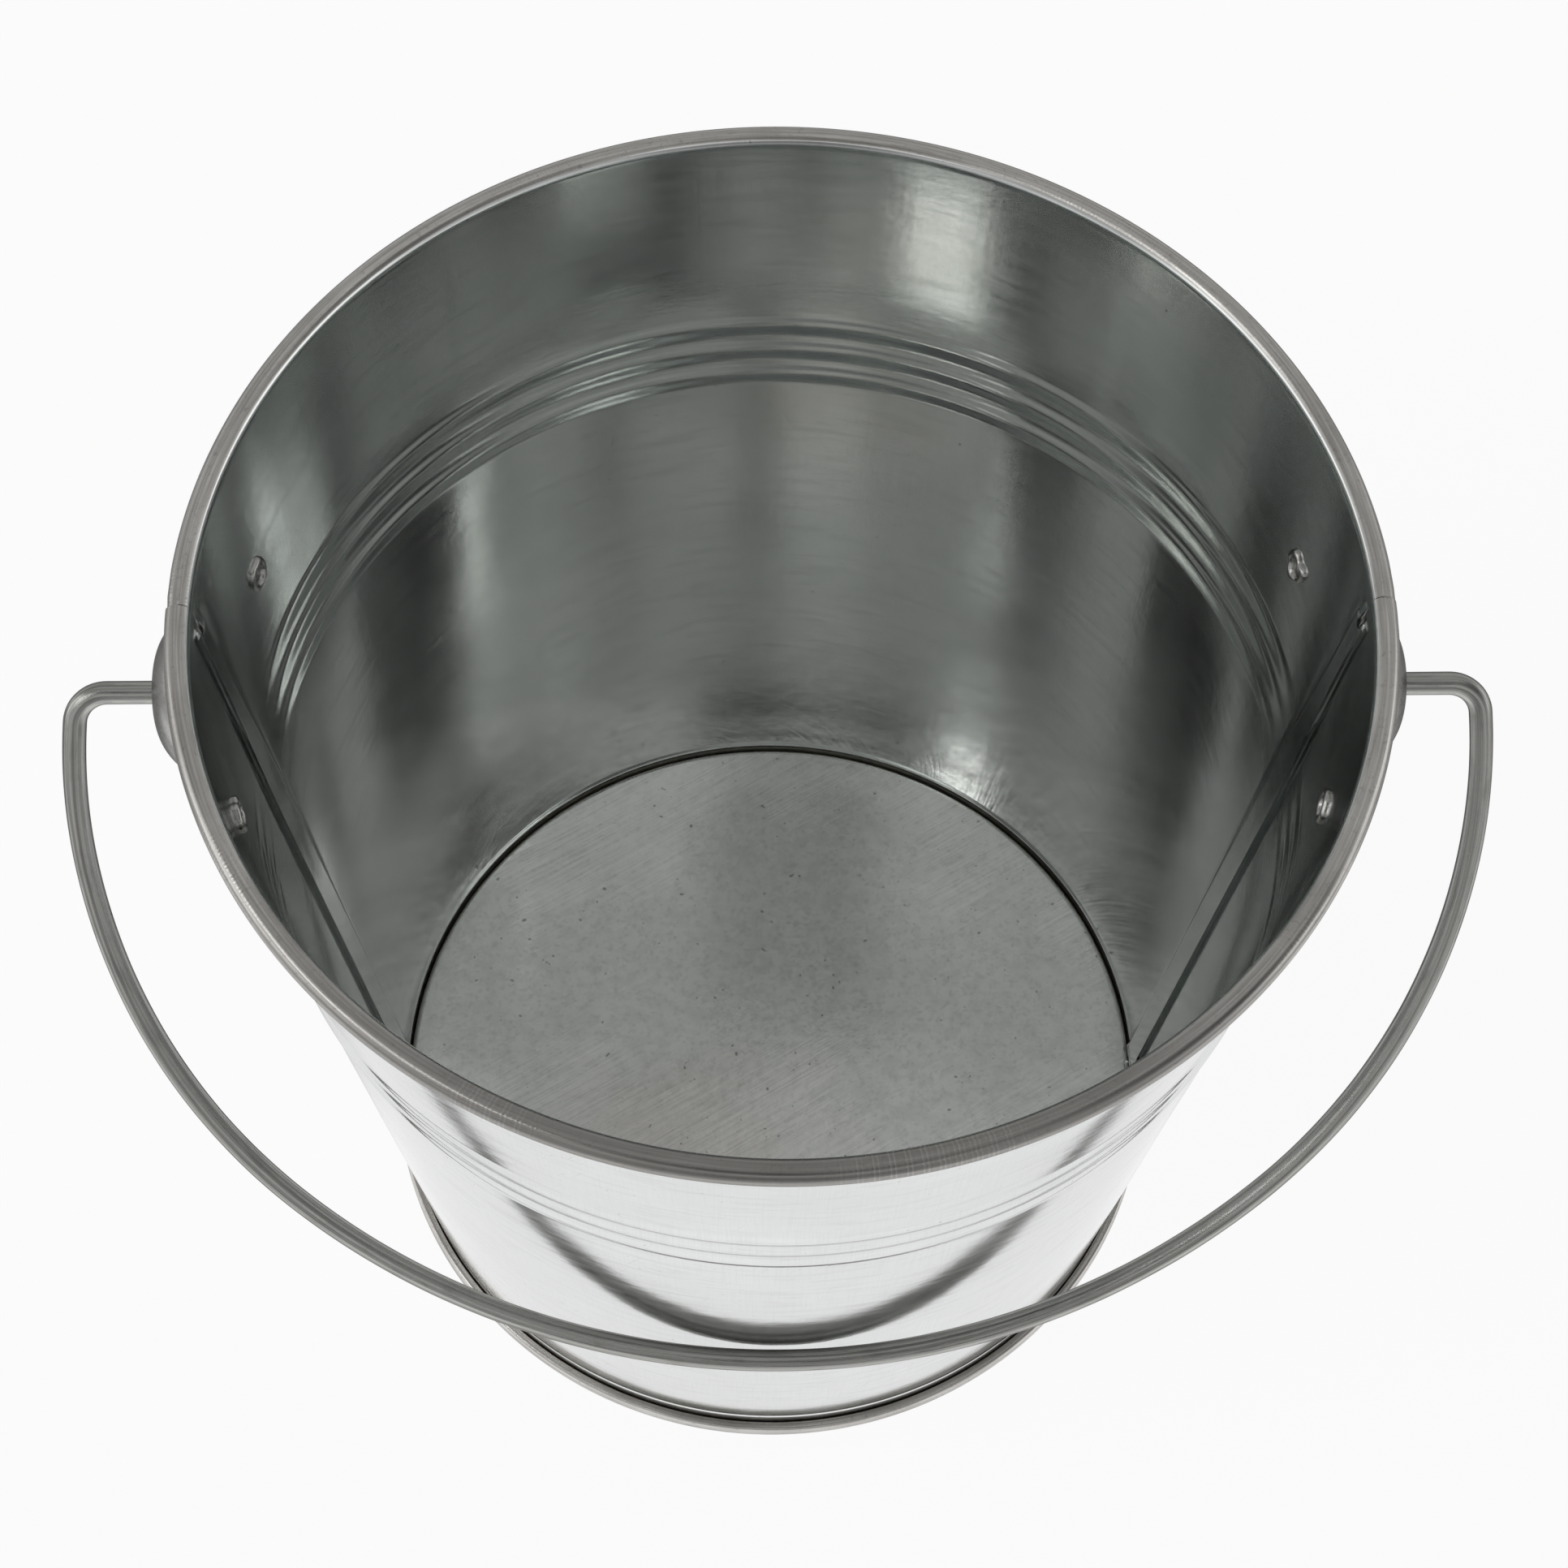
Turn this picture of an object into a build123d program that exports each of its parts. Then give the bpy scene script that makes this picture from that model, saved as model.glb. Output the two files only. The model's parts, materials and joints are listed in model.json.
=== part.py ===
from build123d import *
import os
from math import asin, atan2, cos, degrees, hypot, radians, sin

# Small galvanised florist bucket with a wire bail. Two pressed sheet halves lock together in
# folded side seams, a recessed bottom disc is double seamed around their foot, and a wire bail
# swings in two riveted ears.
# Frame: origin at the centre of the foot on the resting surface, +Z up, X through the two ears,
# and the bail rests on the wall on the -Y side. Millimetres and degrees.

os.makedirs("parts", exist_ok=True)

# Body
bucket_height = 145.0
rim_radius = 75.0            # outside of the rolled rim
sheet = 0.4
curl_radius = 1.55           # outside of the rolled rim's section
curl_turn = 292.0            # how far the rim is rolled round
foot_radius = 58.5           # middle of the sheet where the wall stands upright in the chime
foot_height = 3.0            # top of that upright stretch
foot_bend = 4.0

# Double seam at the foot
chime_pitch = 0.53           # middle to middle of neighbouring layers
chime_turn_height = 1.26
chime_fold_height = 2.0
hook_clearance = 0.25
panel_height = 4.24          # top face of the recessed bottom
panel_shoulder = 1.0

# Swaged beads around the wall
bead_heights = (99.0, 104.0, 109.0)
bead_width = 4.0
bead_depth = 0.55
bead_end_angle = 7.0         # plain wall left beside each side seam

# Folded side seams at the two ends of the X axis
seam_pitch = 0.48
seam_half_angle = 2.1
seam_fold_angle = 0.36
seam_gap_angle = 0.12
fold_relief = 0.03           # a fold is this much thinner than the layers it joins
seam_end_step = 0.15
seam_window = 0.3            # opening in the back half around the seam's ends
seam_low = 5.6
seam_high = 139.4
butt_gap_angle = 0.08
seam_notch_radius = 0.95
seam_notch_angle = 1.3
seam_notch_height = 139.9

# Ears and rivets
pivot_height = 124.0
ear_sheet = 0.8
ear_gap = 0.08               # between the ear's flange and the wall
ear_apex = 79.2              # outside of the dome, from the bucket's axis
dome_base_radius = 11.5
dome_face_radius = 3.0
ear_body_radius = 12.7
ear_tip_radius = 5.2
ear_span_angle = 24.0
bail_hole_radius = 1.8
rivet_angle = 14.5
rivet_hole_radius = 1.3
rivet_shank_radius = 1.25
rivet_bore_radius = 0.75
rivet_head_radius = 2.6
rivet_head_height = 1.1
rivet_lip_radius = 2.3
rivet_lip_crest = 1.45       # radius where the rolled tail reaches furthest in
rivet_lip_height = 1.0
rivet_gap = 0.06

# Bail
wire_radius = 1.5
bail_leg = 85.5              # where the straight leg ends, from the bucket's axis
bail_corner_radius = 4.4
bail_corner_angle = 83.0
bail_side_radius = 79.0
bail_side_angle = 54.0
bail_rest_angle = 47.75      # below horizontal, against the front wall
head_radius = 2.7
head_length = 1.2
head_play = 0.4

# Worked out from the sizes above: the wall's straight line is tangent to the foot bend and to the curl
curl_middle = curl_radius - sheet / 2
curl_center = Vector(rim_radius - curl_radius, bucket_height - curl_radius)
bend_center = Vector(foot_radius + foot_bend, foot_height)
center_line = curl_center - bend_center
center_distance = hypot(center_line.X, center_line.Y)
wall_tilt = atan2(center_line.X, center_line.Y) - asin((curl_middle - foot_bend) / center_distance)
wall_up = Vector(sin(wall_tilt), cos(wall_tilt))
wall_out = Vector(cos(wall_tilt), -sin(wall_tilt))
wall_start = bend_center - wall_out * foot_bend
wall_end = curl_center - wall_out * curl_middle


def wall_point(height, offset):
    """Point in a radial plane, at a height on the wall's middle line and then outward from it."""
    along = (height - wall_start.Y) / wall_up.Y
    return wall_start + wall_up * along + wall_out * offset


def radial_plane(azimuth):
    """Upright plane through the bucket's axis. Its x is the radius and its y is the height."""
    direction = Vector(cos(radians(azimuth)), sin(radians(azimuth)), 0)
    return Plane(origin=(0, 0, 0), x_dir=direction, z_dir=direction.cross(Vector(0, 0, 1)))


def first_azimuth(side, near, far):
    """Where a turn from one seam angle to another starts, on the +X side (1) or the -X side (-1)."""
    if side == 1:
        return near
    return 180 - far


def body_section(azimuth, beaded):
    """Section of the body sheet: foot hook, upright foot, wall and rolled rim."""
    hook_radius = foot_radius + 2 * chime_pitch
    bead_side = bead_width / 4
    bead_turn = 2 * degrees(atan2(bead_depth / 2, bead_side))
    bead_radius = bead_side / sin(radians(bead_turn))
    with BuildSketch(radial_plane(azimuth)) as section:
        with BuildLine():
            hook = Line((hook_radius, chime_fold_height - hook_clearance), (hook_radius, chime_turn_height))
            turn = JernArc(hook @ 1, hook % 1, chime_pitch, -180)
            foot = Line(turn @ 1, (foot_radius, foot_height))
            JernArc(foot @ 1, foot % 1, foot_bend, -degrees(wall_tilt))
            last = wall_start
            if beaded:
                for height in bead_heights:
                    lead = Line(last, wall_point(height, 0) - wall_up * (bead_width / 2))
                    rise = JernArc(lead @ 1, wall_up, bead_radius, -bead_turn)
                    crest = JernArc(rise @ 1, rise % 1, bead_radius, 2 * bead_turn)
                    fall = JernArc(crest @ 1, crest % 1, bead_radius, -bead_turn)
                    last = fall @ 1
            Line(last, wall_end)
            JernArc(wall_end, wall_up, curl_middle, -curl_turn)
        trace(line_width=sheet)
    return section.sketch


def band_section(azimuth, inner, outer, low, high):
    """Section of a band along the wall, between two offsets from the sheet's middle line."""
    with BuildSketch(radial_plane(azimuth)) as section:
        with BuildLine():
            Polyline(
                wall_point(low, inner),
                wall_point(low, outer),
                wall_point(high, outer),
                wall_point(high, inner),
                close=True,
            )
        make_face()
    return section.sketch


def seam_layer(azimuth, layer):
    """Section of one flat layer of a side seam. Layer 0 is in line with the wall."""
    middle = -layer * seam_pitch
    end = 2 * seam_end_step
    return band_section(azimuth, middle - sheet / 2, middle + sheet / 2, seam_low + end, seam_high - end)


def seam_fold(azimuth, inner_layer, outer_layer):
    """Section of a fold that joins two layers of a side seam."""
    inner = -inner_layer * seam_pitch - sheet / 2 + fold_relief
    outer = -outer_layer * seam_pitch + sheet / 2 - fold_relief
    return band_section(azimuth, inner, outer, seam_low + seam_end_step, seam_high - seam_end_step)


def cut_section(azimuth, low, high):
    """Section of a block that cuts through the whole sheet between two heights."""
    with BuildSketch(radial_plane(azimuth)) as section:
        with Locations((rim_radius, (low + high) / 2)):
            Rectangle(rim_radius, high - low)
    return section.sketch


def front_edge(side):
    """Side edge of the front half, whose sheet runs on outside the seam and folds back inwards."""
    sheet_end = seam_half_angle + seam_fold_angle / 2
    fold_end = seam_half_angle + seam_fold_angle
    return_start = seam_gap_angle - seam_half_angle
    with BuildPart() as edge:
        start = first_azimuth(side, -bead_end_angle, sheet_end)
        revolve(body_section(start, False), Axis.Z, bead_end_angle + sheet_end)
        start = first_azimuth(side, -butt_gap_angle, bead_end_angle)
        sweep_angle = bead_end_angle + butt_gap_angle
        revolve(cut_section(start, -seam_low, seam_low), Axis.Z, sweep_angle, mode=Mode.SUBTRACT)
        revolve(cut_section(start, seam_high, 2 * seam_high), Axis.Z, sweep_angle, mode=Mode.SUBTRACT)
        start = first_azimuth(side, seam_half_angle, fold_end)
        revolve(seam_fold(start, 2, 0), Axis.Z, seam_fold_angle)
        start = first_azimuth(side, return_start, sheet_end)
        revolve(seam_layer(start, 2), Axis.Z, sheet_end - return_start)
    return edge.part


def back_edge(side):
    """Side edge of the back half. It steps inwards, crosses the seam and folds back under itself."""
    step_start = seam_half_angle + seam_fold_angle + seam_gap_angle
    step_middle = step_start + seam_fold_angle / 2
    fold_start = -seam_half_angle - seam_fold_angle
    layer_start = -seam_half_angle - seam_fold_angle / 2
    return_end = seam_half_angle - seam_gap_angle
    with BuildPart() as edge:
        start = first_azimuth(side, butt_gap_angle, bead_end_angle)
        revolve(body_section(start, False), Axis.Z, bead_end_angle - butt_gap_angle)
        start = first_azimuth(side, -step_middle, step_middle)
        window = cut_section(start, seam_low - seam_window, seam_high + seam_window)
        revolve(window, Axis.Z, 2 * step_middle, mode=Mode.SUBTRACT)
        start = first_azimuth(side, step_start, step_start + seam_fold_angle)
        revolve(seam_fold(start, 3, 0), Axis.Z, seam_fold_angle)
        start = first_azimuth(side, layer_start, step_middle)
        revolve(seam_layer(start, 3), Axis.Z, step_middle - layer_start)
        start = first_azimuth(side, fold_start, -seam_half_angle)
        revolve(seam_fold(start, 3, 1), Axis.Z, seam_fold_angle)
        start = first_azimuth(side, layer_start, return_end)
        revolve(seam_layer(start, 1), Axis.Z, return_end - layer_start)
    return edge.part


def rivet_frame(azimuth):
    """Origin on the sheet's middle, direction across the rivet and direction outwards along it."""
    spot = wall_point(pivot_height, 0)
    ahead = Vector(cos(radians(azimuth)), sin(radians(azimuth)), 0)
    across = Vector(-sin(radians(azimuth)), cos(radians(azimuth)), 0)
    up = Vector(0, 0, 1)
    return ahead * spot.X + up * spot.Y, across, ahead * wall_out.X + up * wall_out.Y


def rivet_hole_plane(azimuth):
    """Plane square to a rivet, a little inside the wall."""
    origin, across, outward = rivet_frame(azimuth)
    return Plane(origin=origin - outward * rivet_head_radius, x_dir=across, z_dir=outward)


right_rivets = (-rivet_angle, rivet_angle)
rivet_depth = 2 * rivet_head_radius
front_rivets = (-rivet_angle, 180 + rivet_angle)
back_rivets = (rivet_angle, 180 - rivet_angle)

# ---------------------------------------------------------------- body_front_half
front_edges = [front_edge(side) for side in (1, -1)]
beaded_sweep = 180 - 2 * bead_end_angle
notch_offset = wall_point(seam_notch_height, 0).X * sin(radians(seam_notch_angle))

with BuildPart() as body_front_half:
    revolve(body_section(180 + bead_end_angle, True), Axis.Z, beaded_sweep)
    add(front_edges)
    with BuildSketch(Plane.YZ.offset(-rim_radius)):
        with Locations((-notch_offset, seam_notch_height)):
            Circle(seam_notch_radius)
    extrude(amount=2 * rim_radius, mode=Mode.SUBTRACT)
    for azimuth in front_rivets:
        with BuildSketch(rivet_hole_plane(azimuth)):
            Circle(rivet_hole_radius)
        extrude(amount=rivet_depth, mode=Mode.SUBTRACT)
body_front_half.part.label = "body_front_half"
export_step(body_front_half.part, "parts/body_front_half.step")

# ---------------------------------------------------------------- body_back_half
back_edges = [back_edge(side) for side in (1, -1)]

with BuildPart() as body_back_half:
    revolve(body_section(bead_end_angle, True), Axis.Z, beaded_sweep)
    add(back_edges)
    for azimuth in back_rivets:
        with BuildSketch(rivet_hole_plane(azimuth)):
            Circle(rivet_hole_radius)
        extrude(amount=rivet_depth, mode=Mode.SUBTRACT)
body_back_half.part.label = "body_back_half"
export_step(body_back_half.part, "parts/body_back_half.step")

# ---------------------------------------------------------------- bottom_disc
skirt_radius = foot_radius - chime_pitch
cover_radius = foot_radius + 3 * chime_pitch
cover_hook_radius = foot_radius + chime_pitch
cover_hook_end = chime_turn_height + hook_clearance
panel_middle = panel_height - sheet / 2

with BuildPart() as bottom_disc:
    with BuildSketch(Plane.XZ):
        with BuildLine():
            panel = Line((0, panel_middle), (skirt_radius - panel_shoulder, panel_middle))
            shoulder = JernArc(panel @ 1, panel % 1, panel_shoulder, -90)
            skirt = Line(shoulder @ 1, (skirt_radius, sheet / 2 + chime_pitch))
            under = JernArc(skirt @ 1, skirt % 1, chime_pitch, 90)
            floor = Line(under @ 1, (cover_radius - chime_pitch, sheet / 2))
            rise = JernArc(floor @ 1, floor % 1, chime_pitch, 90)
            cover = Line(rise @ 1, (cover_radius, chime_fold_height))
            fold = JernArc(cover @ 1, cover % 1, chime_pitch, 180)
            Line(fold @ 1, (cover_hook_radius, cover_hook_end))
        trace(line_width=sheet)
        with Locations((-rim_radius / 2, bucket_height / 2)):
            Rectangle(rim_radius, bucket_height, mode=Mode.SUBTRACT)
    revolve(axis=Axis.Z)
bottom_disc.part.label = "bottom_disc"
export_step(bottom_disc.part, "parts/bottom_disc.step")

# ---------------------------------------------------------------- ears
flange_inner = sheet / 2 + ear_gap
flange_outer = flange_inner + ear_sheet
flange_low = pivot_height - 2 * ear_body_radius
flange_high = pivot_height + ear_body_radius + curl_radius
ear_tip_offset = wall_point(pivot_height, flange_outer).X * sin(radians(rivet_angle))
dome_base = wall_point(pivot_height, flange_outer).X
dome_plane = Plane(origin=(0, 0, pivot_height), x_dir=(1, 0, 0), z_dir=(0, -1, 0))
pivot_axis = Axis((0, 0, pivot_height), (1, 0, 0))
flange_band = band_section(-ear_span_angle, flange_inner, flange_outer, flange_low, flange_high)
wall_core = band_section(0, -rim_radius / 2, flange_inner, flange_low, flange_high)

with BuildPart() as dome:
    with BuildSketch(dome_plane):
        with BuildLine():
            outer_crown = TangentArc(
                (ear_apex, dome_face_radius),
                (dome_base, dome_base_radius),
                tangent=(0, 1),
            )
            inner_crown = TangentArc(
                (ear_apex - ear_sheet, dome_face_radius),
                (dome_base, dome_base_radius - ear_sheet),
                tangent=(0, 1),
            )
            Polyline(
                inner_crown @ 0,
                (ear_apex - ear_sheet, bail_hole_radius),
                (ear_apex, bail_hole_radius),
                outer_crown @ 0,
            )
            Polyline(
                outer_crown @ 1,
                (dome_base / 2, dome_base_radius),
                (dome_base / 2, dome_base_radius - ear_sheet),
                inner_crown @ 1,
            )
        make_face()
    revolve(axis=pivot_axis)
    revolve(wall_core, Axis.Z, mode=Mode.SUBTRACT)

with BuildPart() as ear_right:
    revolve(flange_band, Axis.Z, 2 * ear_span_angle)
    with BuildSketch(Plane.YZ):
        with Locations((0, pivot_height)):
            Circle(ear_body_radius)
        with Locations((-ear_tip_offset, pivot_height), (ear_tip_offset, pivot_height)):
            Circle(ear_tip_radius)
        make_hull()
    extrude(amount=2 * rim_radius, mode=Mode.INTERSECT)
    with BuildSketch(Plane.YZ):
        with Locations((0, pivot_height)):
            Circle(dome_base_radius - ear_sheet / 2)
    extrude(amount=2 * rim_radius, mode=Mode.SUBTRACT)
    add(dome.part)
    for azimuth in right_rivets:
        with BuildSketch(rivet_hole_plane(azimuth)):
            Circle(rivet_hole_radius)
        extrude(amount=rivet_depth, mode=Mode.SUBTRACT)
ear_right.part.label = "ear_right"
export_step(ear_right.part, "parts/ear_right.step")

with BuildPart() as ear_left:
    mirror(ear_right.part, about=Plane.YZ)
ear_left.part.label = "ear_left"
export_step(ear_left.part, "parts/ear_left.step")

# ---------------------------------------------------------------- rivets
head_seat = flange_outer + rivet_gap
lip_seat = -sheet / 2 - rivet_gap
lip_end = lip_seat - rivet_lip_height
lip_inside = rivet_lip_crest - rivet_bore_radius
lip_outside = rivet_lip_radius - rivet_lip_crest
head_edge = head_seat + rivet_head_height / 4
head_crown = head_seat + rivet_head_height

for name, azimuth in (
    ("rivet_right_front", -rivet_angle),
    ("rivet_right_back", rivet_angle),
    ("rivet_left_back", 180 - rivet_angle),
    ("rivet_left_front", 180 + rivet_angle),
):
    origin, across, outward = rivet_frame(azimuth)
    with BuildPart() as rivet:
        with BuildSketch(Plane(origin=origin, x_dir=across, z_dir=across.cross(outward))):
            with BuildLine():
                bore = Polyline((0, 0), (rivet_bore_radius, 0), (rivet_bore_radius, lip_end + lip_inside))
                inner_roll = JernArc(bore @ 1, (0, -1), lip_inside, 90)
                outer_roll = JernArc(inner_roll @ 1, (1, 0), lip_outside, 90)
                Polyline(
                    outer_roll @ 1,
                    (rivet_lip_radius, lip_seat),
                    (rivet_shank_radius, lip_seat),
                    (rivet_shank_radius, head_seat),
                    (rivet_head_radius, head_seat),
                    (rivet_head_radius, head_edge),
                )
                TangentArc((0, head_crown), (rivet_head_radius, head_edge), tangent=(1, 0))
                Line((0, head_crown), (0, 0))
            make_face()
        revolve(axis=Axis(origin, outward))
    rivet.part.label = name
    export_step(rivet.part, f"parts/{name}.step")

# ---------------------------------------------------------------- bail_handle
head_outside = ear_apex - ear_sheet - head_play
corner_turn = radians(bail_corner_angle)
arc_turn = radians(bail_corner_angle + bail_side_angle)
side_middle = bail_leg + (bail_corner_radius - bail_side_radius) * sin(corner_turn)
main_radius = side_middle / sin(arc_turn) + bail_side_radius
bail_plane = Plane(
    origin=(0, 0, pivot_height),
    x_dir=(1, 0, 0),
    z_dir=(0, sin(radians(bail_rest_angle)), -cos(radians(bail_rest_angle))),
)

with BuildPart() as bail_handle:
    with BuildLine(bail_plane) as wire:
        right_leg = Line((head_outside - head_length / 2, 0), (bail_leg, 0))
        right_corner = JernArc(right_leg @ 1, right_leg % 1, bail_corner_radius, bail_corner_angle)
        right_side = JernArc(right_corner @ 1, right_corner % 1, bail_side_radius, bail_side_angle)
        bow = JernArc(right_side @ 1, right_side % 1, main_radius, 2 * (180 - degrees(arc_turn)))
        left_side = JernArc(bow @ 1, bow % 1, bail_side_radius, bail_side_angle)
        left_corner = JernArc(left_side @ 1, left_side % 1, bail_corner_radius, bail_corner_angle)
        Line(left_corner @ 1, (-head_outside + head_length / 2, 0))
    with BuildSketch(Plane(origin=wire.wire() @ 0, z_dir=wire.wire() % 0)):
        Circle(wire_radius)
    sweep()
    for side in (1, -1):
        with BuildSketch(Plane(origin=(side * head_outside, 0, pivot_height), z_dir=(-side, 0, 0))):
            Circle(head_radius)
        extrude(amount=head_length)
bail_handle.part.label = "bail_handle"
export_step(bail_handle.part, "parts/bail_handle.step")
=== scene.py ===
import json
from math import asin, atan2, cos, hypot, pi, sin, sqrt

import bmesh
import bpy
from mathutils import Matrix, Vector, noise


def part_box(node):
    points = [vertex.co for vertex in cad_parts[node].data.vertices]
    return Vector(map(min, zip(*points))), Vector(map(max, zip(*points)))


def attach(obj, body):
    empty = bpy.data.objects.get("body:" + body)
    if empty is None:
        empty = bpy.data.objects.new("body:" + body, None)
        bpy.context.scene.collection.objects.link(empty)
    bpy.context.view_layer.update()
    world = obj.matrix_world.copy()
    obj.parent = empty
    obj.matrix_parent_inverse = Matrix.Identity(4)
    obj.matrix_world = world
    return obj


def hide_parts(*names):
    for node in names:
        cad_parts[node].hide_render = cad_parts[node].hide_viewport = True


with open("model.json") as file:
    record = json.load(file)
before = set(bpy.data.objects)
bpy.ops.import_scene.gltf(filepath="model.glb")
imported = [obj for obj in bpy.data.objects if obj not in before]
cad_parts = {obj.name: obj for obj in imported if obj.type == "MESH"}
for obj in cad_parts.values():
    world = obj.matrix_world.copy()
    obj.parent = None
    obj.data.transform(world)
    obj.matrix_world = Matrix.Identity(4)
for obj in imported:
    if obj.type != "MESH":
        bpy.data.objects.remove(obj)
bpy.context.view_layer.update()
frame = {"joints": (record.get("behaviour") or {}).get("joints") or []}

# ---------------------------------------------------------------- sizes, in metres and radians
mm = 0.001
degree = pi / 180

# Points nearer than the weld distance are joined, and a hair is the slack in comparisons of sizes
weld_distance = 0.001 * mm
hair = 0.01 * mm

half_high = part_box("body_front_half")[1]
disc_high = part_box("bottom_disc")[1]
ear_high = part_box("ear_right")[1]
pivot = Vector(frame["joints"][0]["pos_m"])

rim_radius = half_high.x
bucket_height = half_high.z
ear_apex = ear_high.x
panel_top = disc_high.z

sheet = 0.4 * mm
curl_radius = 1.55 * mm
curl_turn = 292 * degree
foot_height = 3 * mm
foot_bend = 4 * mm
chime_pitch = 0.53 * mm
chime_turn_height = 1.26 * mm
chime_fold_height = 2 * mm
chime_crown = 0.24 * mm
hook_clearance = 0.25 * mm
panel_shoulder = 1 * mm
panel_hub = 1.2 * mm
panel_sag = 0.12 * mm
panel_sag_margin = 8 * mm
foot_radius = disc_high.x - sheet / 2 - 3 * chime_pitch

bead_heights = (99 * mm, 104 * mm, 109 * mm)
bead_width = 4.6 * mm
bead_depth = 0.26 * mm
bead_fade_start = 4 * degree
bead_fade_end = 19 * degree
ridge_height = 5.25 * mm
ridge_width = 1.7 * mm
ridge_depth = 0.2 * mm

# How far in each of a seam's four layers lies, and how much thinner than the sheet the inner ones are.
# They are hammered flatter than the CAD's, which are a clear distance apart
seam_layers = (0.0, 0.31 * mm, 0.52 * mm, 0.73 * mm)
seam_squash = 0.5
seam_half_angle = 1.6 * degree
seam_gap_angle = 0.12 * degree
seam_low = 5.6 * mm
seam_high = 139.4 * mm
seam_top_share = 0.5
seam_press_low = 3.4 * mm
seam_press_high = seam_high + 3.2 * mm
butt_gap_angle = 0.08 * degree
step_start = 1.75 * degree
step_end = 2.9 * degree

# How much smaller the back half's curl is beside the right and the left seam, so that the joint shows
rim_step_fade = 5 * degree
rim_steps = {1: 0.08 * mm, -1: 0.2 * mm}

notch_angle = 1 * degree
notch_height = 139.6 * mm
notch_radius = 0.6 * mm
hole_snap = 0.24 * mm

ear_sheet = 0.8 * mm
ear_gap = 0.08 * mm
dome_base_radius = 11.5 * mm
dome_face_radius = 3 * mm
dome_fillet = 1.6 * mm
dome_margin = 0.6 * mm
ear_edge_bevel = 0.12 * mm
ear_body_radius = 12.7 * mm
ear_tip_radius = 5.2 * mm
bail_hole_radius = 1.8 * mm

rivet_hole_radius = 1.3 * mm
rivet_hole_angle = 14.5 * degree
rivet_shank_radius = 1.25 * mm
rivet_bore_radius = 1.15 * mm
rivet_head_radius = 2.6 * mm
rivet_head_height = 1.1 * mm
rivet_lip_radius = 2.3 * mm
rivet_lip_crest = 1.75 * mm
rivet_lip_height = 0.62 * mm
rivet_gap = 0.06 * mm
rivet_bore_depth = 1.7 * mm

wire_radius = 1.5 * mm
bail_leg = 85.5 * mm
bail_corner_radius = 4.4 * mm
bail_corner_angle = 83 * degree
bail_side_radius = 79 * mm
bail_side_angle = 54 * degree
bail_rest_angle = 47.75 * degree
head_radius = 2.7 * mm
head_length = 1.2 * mm
head_play = 0.4 * mm
head_neck = 0.3 * mm
head_edge = 0.12 * mm
head_rounding = 0.35 * mm

# The wall's straight line is tangent to the bend above the foot and to the rolled rim
curl_middle = curl_radius - sheet / 2
curl_center = Vector((rim_radius - curl_radius, bucket_height - curl_radius))
bend_center = Vector((foot_radius + foot_bend, foot_height))
center_line = curl_center - bend_center
wall_tilt = atan2(center_line.x, center_line.y) - asin((curl_middle - foot_bend) / center_line.length)
wall_up = Vector((sin(wall_tilt), cos(wall_tilt)))
wall_out = Vector((cos(wall_tilt), -sin(wall_tilt)))
wall_start = bend_center - wall_out * foot_bend
wall_end = curl_center - wall_out * curl_middle
wall_mean_height = bucket_height / 2

# Dull worked zinc starts where the rim's curl has turned to this heading, and below this height
rim_dull_heading = 52 * degree
foot_dull_height = 4.1 * mm


# ---------------------------------------------------------------- small tools
def smoothstep(low, high, value):
    """0 up to low, 1 from high on, and a smooth rise between them."""
    share = min(1, max(0, (value - low) / (high - low)))
    return share * share * (3 - 2 * share)


def run_line(path, length, steps):
    """Goes on straight along a path of (x, y, heading)."""
    x, y, heading = path[-1]
    for step in range(1, steps + 1):
        far = length * step / steps
        path.append((x + far * cos(heading), y + far * sin(heading), heading))


def run_arc(path, radius, turn, steps):
    """Goes on along an arc. A positive turn is to the left."""
    x, y, heading = path[-1]
    side = 1 if turn > 0 else -1
    center_x = x - side * radius * sin(heading)
    center_y = y + side * radius * cos(heading)
    for step in range(1, steps + 1):
        new = heading + turn * step / steps
        path.append((center_x + side * radius * sin(new), center_y - side * radius * cos(new), new))


def round_point(radius, azimuth, height):
    return Vector((radius * cos(azimuth), radius * sin(azimuth), height))


def wall_radius(height, offset=0.0):
    """Radius of the wall's middle line at a height, moved outwards by an offset."""
    along = (height - wall_start.y) / wall_up.y
    return (wall_start + wall_up * along + wall_out * offset).x


def clean_mesh(mesh):
    """Deletes loose points, joins points that coincide and turns the faces outwards."""
    work = bmesh.new()
    work.from_mesh(mesh)
    loose = [vertex for vertex in work.verts if not vertex.link_faces]
    bmesh.ops.delete(work, geom=loose, context="VERTS")
    bmesh.ops.remove_doubles(work, verts=work.verts, dist=weld_distance)
    bmesh.ops.recalc_face_normals(work, faces=work.faces)
    work.to_mesh(mesh)
    work.free()


def thicken(piece, thickness, shares):
    """Turns a piece's faces into sheet on both sides of them. A point's share thins the sheet there."""
    modifier = piece.modifiers.new("thickness", "SOLIDIFY")
    modifier.thickness = thickness
    modifier.offset = 0
    modifier.use_even_offset = True
    modifier.use_quality_normals = True
    if shares is not None:
        modifier.vertex_group = "thickness"
    evaluated = piece.evaluated_get(bpy.context.evaluated_depsgraph_get())
    solid = bpy.data.meshes.new_from_object(evaluated)
    piece.modifiers.clear()
    piece.data = solid


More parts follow.
